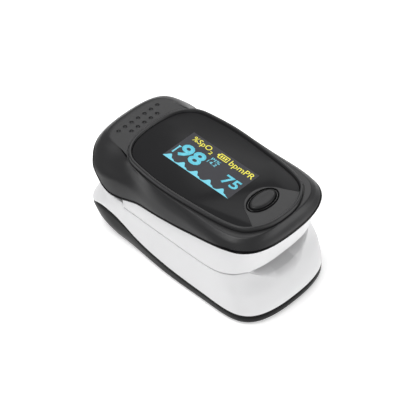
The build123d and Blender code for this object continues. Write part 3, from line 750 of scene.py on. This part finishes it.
def build_button():
    """The oval cap with its skirt, and the thin collar ring around it."""
    cap = [(0.9, 25.0), (0.9, 25.6), (0.0, 25.62), (0.0, BUTTON_TOP - 0.5), (-0.05, BUTTON_TOP - 0.3),
           (-0.18, BUTTON_TOP - 0.12), (-0.4, BUTTON_TOP - 0.03), (-0.75, BUTTON_TOP),
           (-1.3, BUTTON_TOP - 0.02), (-1.9, BUTTON_TOP - 0.05)]
    button = new_object("power_button_cap", *rows_mesh(oval_rows(BUTTON_RADII, cap), caps=True), "button")
    finish_piece(button, BUTTON, "cover_black", "power_button")
    ring = [(-0.42, WINDOW_TOP - 0.2), (-0.42, WINDOW_TOP + 0.12), (-0.36, WINDOW_TOP + 0.2),
            (-0.22, WINDOW_TOP + 0.24), (-0.1, WINDOW_TOP + 0.2), (-0.04, WINDOW_TOP + 0.1),
            (-0.02, WINDOW_TOP - 0.2)]
    collar = new_object("button_collar", *rows_mesh(oval_rows(COLLAR_RADII, ring), closed=True), "upper")
    finish_piece(collar, LIP, "cover_black")


# ---- white frames ----

def shell_rows(rings, low, high):
    """Rings of a closed wall: down the inside, round the lower edge, up the outside, over the top."""
    start, reach = low + LOW_ROUND, high - low - LOW_ROUND
    rows = [offset(ring_at(rings, start + reach * t), -FRAME_WALL) for t in (1.0, 0.5, 0.0)]
    bottom = ring_at(rings, low)
    rows += [offset(bottom, -FRAME_WALL + 0.1, low), offset(bottom, -LOW_ROUND, low),
             offset(bottom, -LOW_ROUND * 0.29, low + LOW_ROUND * 0.29)]
    for t in np.linspace(0, 1, FRAME_LEVELS):
        rows.append(ring_at(rings, start + (reach - HIGH_ROUND) * t))
    rows.append(offset(ring_at(rings, high), -HIGH_ROUND, high))
    return rows


def cut_off_behind(piece, y):
    """Keeps only the part of a closed mesh in front of a plane across the object."""
    work = bmesh.new()
    work.from_mesh(piece.data)
    geometry = work.verts[:] + work.edges[:] + work.faces[:]
    cut = bmesh.ops.bisect_plane(work, geom=geometry, plane_co=(0, y * MM, 0), plane_no=(0, 1, 0),
                                 clear_outer=True)
    edges = [e for e in cut["geom_cut"] if isinstance(e, bmesh.types.BMEdge)]
    bmesh.ops.holes_fill(work, edges=edges)
    bmesh.ops.recalc_face_normals(work, faces=work.faces)
    work.to_mesh(piece.data)
    work.free()
    shade(piece.data)


def merge_into(piece, extra, other=None):
    """Adds a (verts, faces) list in millimetres to a piece, after another object's mesh if one is given."""
    work = bmesh.new()
    work.from_mesh(piece.data)
    if other:
        work.from_mesh(other.data)
        bpy.data.objects.remove(other)
    added = raw_mesh("added", *extra)
    work.from_mesh(added)
    bmesh.ops.recalc_face_normals(work, faces=work.faces)
    work.to_mesh(piece.data)
    work.free()
    bpy.data.meshes.remove(added)
    shade(piece.data)


def rounded(half, front_y, tail_y, radius):
    """A rounded rectangle in plan, as a ring that starts at its front."""
    points = [(0, front_y)]
    for y, start in ((front_y + radius, -90), (tail_y - radius, 0)):
        for k in range(ARC_STEPS + 1):
            turn = math.radians(start + 90 * k / ARC_STEPS)
            points.append((half - radius + radius * math.cos(turn), y + radius * math.sin(turn)))
    points.append((0, tail_y))
    return np.array(mirrored(points))


def block(x0, x1, y0, y1, z0, z1, radius=0.25):
    """A small upright block with rounded corners."""
    points = []
    for x, y, start in ((x1 - radius, y0 + radius, -90), (x1 - radius, y1 - radius, 0),
                        (x0 + radius, y1 - radius, 90), (x0 + radius, y0 + radius, 180)):
        for k in range(4):
            turn = math.radians(start + 30 * k)
            points.append((x + radius * math.cos(turn), y + radius * math.sin(turn)))
    return solid_prism(np.array(points), z0, z1)


def ear(side, near, far, low, high):
    """A hinge ear: an upright block, and a cylinder along X round the pivot's axis."""
    x0, x1 = sorted((side * near, side * far))
    turns = [2 * math.pi * k / BARREL_POINTS for k in range(BARREL_POINTS)]
    rows = [[(x, PIVOT_Y + EAR_RADIUS * math.cos(turn), PIVOT_Z + EAR_RADIUS * math.sin(turn))
             for turn in turns] for x in (x0, x1)]
    return [block(x0, x1, PIVOT_Y - EAR_RADIUS, PIVOT_Y + EAR_RADIUS, low, high), lidded(rows)]


def tail_skirt():
    """The upper frame's wall behind the pivot, cut away below in its middle."""
    outer, inner = rounded(14.0, 0, 24.0, 7), rounded(12.8, 1.2, 22.8, 5.8)
    rows = [flat(inner, SKIRT_HIGH), flat(inner, SKIRT_LOW), flat(outer, SKIRT_LOW), flat(outer, SKIRT_HIGH)]
    skirt = new_object("skirt_work", *rows_mesh(rows, closed=True))
    notch = joined(block(-12.4, 12.4, -5, 30, 5, 16.0), block(-20, 20, -5, PIVOT_Y - 1, 5, 25))
    carve(skirt, notch, "skirt_cutter")
    return skirt


def build_upper_frame():
    """The white upper frame: outer wall, ceiling, tail skirt, channel walls and hinge ears."""
    rings = table_rings(UPPER)
    low = profile_heights(rings, SEAM_PROFILE, SEAM_HALF_GAP)
    high = profile_heights(rings, RIM_PROFILE, RIM_OVERLAP)
    wall = new_object("upper_frame_shell", *rows_mesh(shell_rows(rings, low, high), closed=True), "upper")
    cut_off_behind(wall, PIVOT_Y - 0.1)
    more = [solid_prism(rounded(13.4, -24.2, 23.4, 7), 19.7, 20.9),
            solid_prism(rounded(14.35, -23.3, 13.0, 6.6), 19.6, 20.2)]
    for side in (1, -1):
        x0, x1 = sorted((side * 11.0, side * 11.95))
        more.append(block(x0, x1, -21.8, 8.2, 15.0, INNER_TOP))
        more += ear(side, 8.8, 10.6, PIVOT_Z, INNER_TOP)
    more.append(block(-11.45, 11.45, 7.0, 8.2, 15.0, INNER_TOP))
    merge_into(wall, joined(*more), tail_skirt())
    finish_piece(wall, WHITE, "frame_white", "upper_frame")


def scoop_mesh(stations):
    """A funnel cut: oval rings along Y, each with its lowest point first."""
    turn = np.arange(OVAL_POINTS) / OVAL_POINTS * 2 * math.pi - math.pi / 2
    rows = []
    for y, half, floor in stations:
        rows.append(np.column_stack([half * np.cos(turn), np.full(OVAL_POINTS, y),
                                     SCOOP_TOP + (SCOOP_TOP - floor) * np.sin(turn)]))
    return rows_mesh(rows, caps=True)


def skirt_pocket(side):
    """The space beside a hinge ear that the upper half's skirt swings down into."""
    turns = np.radians(np.linspace(0, 43.2, 9))
    arc = [(7.2 + 7 * math.cos(turn), 17.8 + 7 * math.sin(turn)) for turn in turns]
    points = [(12.3, SKIRT_LOW), (14.2, SKIRT_LOW)] + arc
    return solid_prism(np.array([(side * x, y) for x, y in points]), 8.0, 20.0)


def build_lower_frame():
    """The white lower body, carved for the deck, the batteries and the finger's way in."""
    rings = table_rings(HULL)
    low = profile_heights(rings, LEAF_PROFILE, 0.06)
    high = profile_heights(rings, LOWER_TOP, -SEAM_HALF_GAP)
    rows = [offset(ring_at(rings, low), -0.3, low), offset(ring_at(rings, low + 0.08), -0.06)]
    for t in np.linspace(0, 1, 18):
        rows.append(ring_at(rings, low + 0.2 + (high - 0.3 - low - 0.2) * t))
    rows += [offset(ring_at(rings, high - 0.1), -0.07), offset(ring_at(rings, high), -0.28, high)]
    body = new_object("lower_frame_shell", *rows_mesh(rows, caps=True), "base")
    deck = solid_prism(rounded(14.2, -22.4, 24.8, 7), DECK_Z, 20.0)
    bay = solid_prism(rounded(13.6, -23.2, 23.9, 6.5), 0.5, 11.8)
    carve(body, joined(deck, bay), "deck_cutter")
    carve(body, joined(skirt_pocket(1), skirt_pocket(-1)), "pocket_cutter")
    carve(body, scoop_mesh(SCOOP_BAND), "band_cutter")
    carve(body, scoop_mesh(SCOOP_RECESS), "recess_cutter")
    carve(body, block(-1.8, 1.8, -7.8, -4.2, 11, 13), "sensor_cutter")
    more = [block(-9.4, 9.4, 20.4, 21.4, POST_Z, 16.7), block(-11.0, 11.0, 8.6, 9.4, POST_Z, 14.4)]
    for side in (1, -1):
        more += ear(side, 11.0, 12.4, POST_Z, PIVOT_Z)
    merge_into(body, joined(*more))
    finish_piece(body, WHITE, "frame_white", "lower_frame")


def build_bottom_cover():
    """The black bottom shell with its raised tail leaf, door opening and screw wells."""
    rings = table_rings(HULL)
    high = profile_heights(rings, LEAF_PROFILE, -0.04)
    rows = [flat(offset(ring_at(rings, 0.0), -0.5), 0.0)]
    for z in (0.02, 0.08, 0.16, 0.25, 0.45, 0.8, 1.2, 1.7):
        rows.append(ring_at(rings, z))
    for t in np.linspace(0, 1, 12)[1:]:
        rows.append(ring_at(rings, 1.7 + (high - 0.75 - 1.7) * t))
    rows += [offset(ring_at(rings, high - 0.5), -0.1), offset(ring_at(rings, high - 0.15), -0.2),
             offset(ring_at(rings, high), -0.42, high)]
    shell = new_object("bottom_cover_shell", *rows_mesh(rows, caps=True), "base")
    carve(shell, solid_prism(rounded(13.2, -23.2, 23.9, 6), 1.9, 15.0), "bay_cutter")
    carve(shell, block(-DOOR_HALF, DOOR_HALF, -20.6, 40, -1, 1.1, 0.1), "door_cutter")
    wells = [solid_prism(ellipse((WELL_RADIUS, WELL_RADIUS), 40, (side * x, y)), -1.0, 0.9)
             for x, y in WELLS for side in (1, -1)]
    wells.append(block(-DOOR_HALF, DOOR_HALF, -22.6, 23.7, 1.0, 3.0, 0.1))
    carve(shell, joined(*wells), "well_cutter")
    finish_piece(shell, BOTTOM_BLACK, "cover_black", "bottom_cover")


# ---- soft pads ----

def pad_mesh(flat_z, base_z, floor_z):
    """A closed slab whose inner face has an oval trough for the finger, with rounded ends and fine ribs."""
    xs = PAD_HALF * np.sin(np.linspace(-1, 1, 61) * math.pi / 2)
    nose = PAD_FRONT + PAD_NOSE * (1 - np.cos(np.linspace(0.25, 1, 6) * math.pi / 2))
    ys = np.concatenate([[PAD_FRONT], nose, np.linspace(PAD_FRONT + 1.6, PAD_BACK - 0.4, 70), [PAD_BACK]])
    verts, count = [], len(xs)
    direction = 1 if base_z < flat_z else -1
    depth = abs(flat_z - floor_z)
    for y in ys:
        ease = min(1.0, (y - PAD_FRONT) / PAD_NOSE)
        droop = 0.5 * (1 - math.sqrt(max(0.0, 1 - (1 - ease) ** 2)))
        for x in xs:
            inside = max(0.0, 1 - (x / FINGER_HALF) ** 2)
            edge = 0.12 * max(0.0, (abs(x) - PAD_HALF + 0.5) / 0.5) ** 2
            rib = RIB_HEIGHT * math.cos(y * 2 * math.pi / RIB_PITCH) * min(1.0, 3 * inside)
            verts.append((x, y, flat_z - direction * (depth * math.sqrt(inside) + droop + edge + rib)))
    top = len(verts)
    verts += [(x, y, base_z) for y in ys for x in xs]
    faces = []
    for j in range(len(ys) - 1):
        for i in range(count - 1):
            a = j * count + i
            faces.append((a, a + 1, a + count + 1, a + count))
            faces.append((top + a, top + a + count, top + a + count + 1, top + a + 1))
    for j in range(len(ys) - 1):
        for a in (j * count, j * count + count - 1):
            faces.append((a, a + count, top + a + count, top + a))
    for i in range(count - 1):
        for a in (i, (len(ys) - 1) * count + i):
            faces.append((a, a + 1, top + a + 1, top + a))
    return verts, faces


def build_pads():
    """The two soft pads round the finger, each with an opening for its light window."""
    lower = new_object("lower_finger_cushion", *pad_mesh(14.6, 12.42, 13.0), "base")
    carve(lower, block(-1.8, 1.8, -7.8, -4.2, 12, 16, 0.2), "lower_pad_cutter")
    finish_piece(lower, PAD, "pad_grey", "lower_finger_pad")
    upper = new_object("upper_finger_cushion", *pad_mesh(14.9, 19.68, 18.4), "upper")
    carve(upper, block(-2.1, 2.1, -8.1, -3.9, 14, 22, 0.2), "upper_pad_cutter")
    finish_piece(upper, PAD, "pad_grey", "upper_finger_pad")


# ---- display picture ----

def panel_point(u, v, z):
    """A place on the display in the row frame."""
    return v - PANEL_HEIGHT / 2, DISPLAY_Y + PANEL_LENGTH / 2 - u, z


def plate(name, outline, top, depth, material):
    """A thin flat piece of the display over an outline of (u, v) points."""
    rows = [[panel_point(u, v, z) for u, v in outline] for z in (top, top - depth)]
    finish_piece(new_object(name, *lidded(rows), "upper"), material, "oled_glass")


def strip(material, name, left, right, bottom, top):
    """A plain bar of the display."""
    outline = [(left, bottom), (right, bottom), (right, top), (left, top)]
    plate(name, outline, GLYPH_TOP, GLYPH_DEPTH, material)


def word(material, name, text, left, right, bottom, top, bold=0.0):
    """Generic characters, stretched to a box on the display."""
    curve = bpy.data.curves.new(name, "FONT")
    curve.body = text
    curve.offset = bold
    curve.resolution_u = 3
    maker = bpy.data.objects.new(name + "_maker", curve)
    bpy.context.scene.collection.objects.link(maker)
    bpy.context.view_layer.update()
    mesh = bpy.data.meshes.new_from_object(maker.evaluated_get(bpy.context.evaluated_depsgraph_get()))
    bpy.data.objects.remove(maker)
    places = np.array([v.co[:] for v in mesh.vertices])
    low, high = places.min(axis=0), places.max(axis=0)
    work = bmesh.new()
    work.from_mesh(mesh)
    bmesh.ops.remove_doubles(work, verts=work.verts, dist=1e-5)
    for vert in work.verts:
        u = left + (vert.co.x - low[0]) / (high[0] - low[0]) * (right - left)
        v = bottom + (vert.co.y - low[1]) / (high[1] - low[1]) * (top - bottom)
        vert.co = Vector(panel_point(u, v, GLYPH_TOP)) * MM
    solid = bmesh.ops.extrude_face_region(work, geom=work.faces[:])
    lowered = [g for g in solid["geom"] if isinstance(g, bmesh.types.BMVert)]
    bmesh.ops.translate(work, verts=lowered, vec=(0, 0, -GLYPH_DEPTH * MM))
    bmesh.ops.recalc_face_normals(work, faces=work.faces)
    final = bpy.data.meshes.new(name)
    work.to_mesh(final)
    work.free()
    bpy.data.meshes.remove(mesh)
    finish_piece(place_mesh(name, final, "upper"), material, "oled_glass")


def pulse_outline():
    """The outline of the pulse wave: a tall hump and a small one to each beat."""
    wave = []
    for i in range(PULSES):
        peak = PULSE_FIRST + PULSE_PITCH * i
        for k in range(PULSE_POINTS):
            t = k / PULSE_POINTS
            main = PULSE_HEIGHT * math.exp(-((t - 0.5) / 0.2) ** 2)
            after = 0.3 * math.exp(-((t - 0.86) / 0.1) ** 2)
            wave.append((peak + PULSE_PITCH * (t - 0.5), PULSE_FOOT + (main + after)))
    wave = [(u, v) for u, v in wave if 0.1 < u < PANEL_LENGTH - 0.1]
    return [(0.05, 0.05), (PANEL_LENGTH - 0.1, 0.05)] + wave[::-1]


def build_display():
    """The lit panel: legends and charge icon in yellow; readings, pulse humps and level bar in cyan."""
    panel = [(0, 0), (PANEL_LENGTH, 0), (PANEL_LENGTH, PANEL_HEIGHT), (0, PANEL_HEIGHT)]
    plate("display_panel", panel, PANEL_TOP, 0.3, PANEL)
    for entry in YELLOW_WORDS:
        word(YELLOW, *entry)
    for entry in CYAN_WORDS:
        word(CYAN, *entry)
    plate("level_bar", LEVEL_BAR, GLYPH_TOP, GLYPH_DEPTH, CYAN)
    for entry in CHARGE_ICON:
        strip(YELLOW, *entry)
    plate("pulse_wave", pulse_outline(), GLYPH_TOP, GLYPH_DEPTH, CYAN)


# ---- stage ----

def build_floor():
    """A plain pale floor just under the object, which gives a little light of its own."""
    mesh = bpy.data.meshes.new("studio_floor")
    corners = [(x * FLOOR_HALF, y * FLOOR_HALF, FLOOR_Z) for x, y in ((-1, -1), (1, -1), (1, 1), (-1, 1))]
    mesh.from_pydata(corners, [], [(0, 1, 2, 3)])
    floor = place_mesh("studio_floor", mesh)
    floor.data.materials.append(grained("floor_white", (0.9, 0.9, 0.9), 0.8, grain=0.002, spread=0.005))
    lit = floor.data.materials[0].node_tree.nodes["Principled BSDF"]
    lit.inputs["Emission Color"].default_value = (1, 1, 1, 1)
    lit.inputs["Emission Strength"].default_value = 0.45


def build_lights():
    """A pale surround, soft square lights, and plain colour handling."""
    world = bpy.data.worlds.new("studio")
    bpy.context.scene.world = world
    world.use_nodes = True
    background = world.node_tree.nodes["Background"]
    background.inputs["Color"].default_value = (1, 1, 1, 1)
    background.inputs["Strength"].default_value = 0.3
    bpy.context.scene.view_settings.view_transform = "Standard"
    for name, place, side, power in LIGHTS:
        light = bpy.data.lights.new(name, "AREA")
        light.shape = "SQUARE"
        light.size = side
        light.energy = power
        lamp = bpy.data.objects.new(name, light)
        lamp.location = place
        lamp.rotation_euler = (Vector(LIGHT_AIM) - Vector(place)).to_track_quat("-Z", "Y").to_euler()
        bpy.context.scene.collection.objects.link(lamp)


def build_camera():
    """The camera, at the front left and above."""
    lens = bpy.data.cameras.new("camera")
    lens.sensor_width = CAMERA_SENSOR_MM
    lens.lens = CAMERA_LENS_MM
    lens.clip_start = 0.01
    camera = bpy.data.objects.new("camera", lens)
    back = Vector((math.sin(CAMERA_AZIMUTH) * math.cos(CAMERA_ELEVATION),
                   -math.cos(CAMERA_AZIMUTH) * math.cos(CAMERA_ELEVATION),
                   math.sin(CAMERA_ELEVATION)))
    camera.location = Vector(CAMERA_AIM) + back * CAMERA_DISTANCE
    camera.rotation_euler = (-back).to_track_quat("-Z", "Y").to_euler()
    bpy.context.scene.collection.objects.link(camera)
    bpy.context.scene.camera = camera


build_floor()
build_lights()
build_camera()
build_cover()
build_lip()
build_window()
build_button()
build_display()
build_upper_frame()
build_lower_frame()
build_bottom_cover()
build_pads()
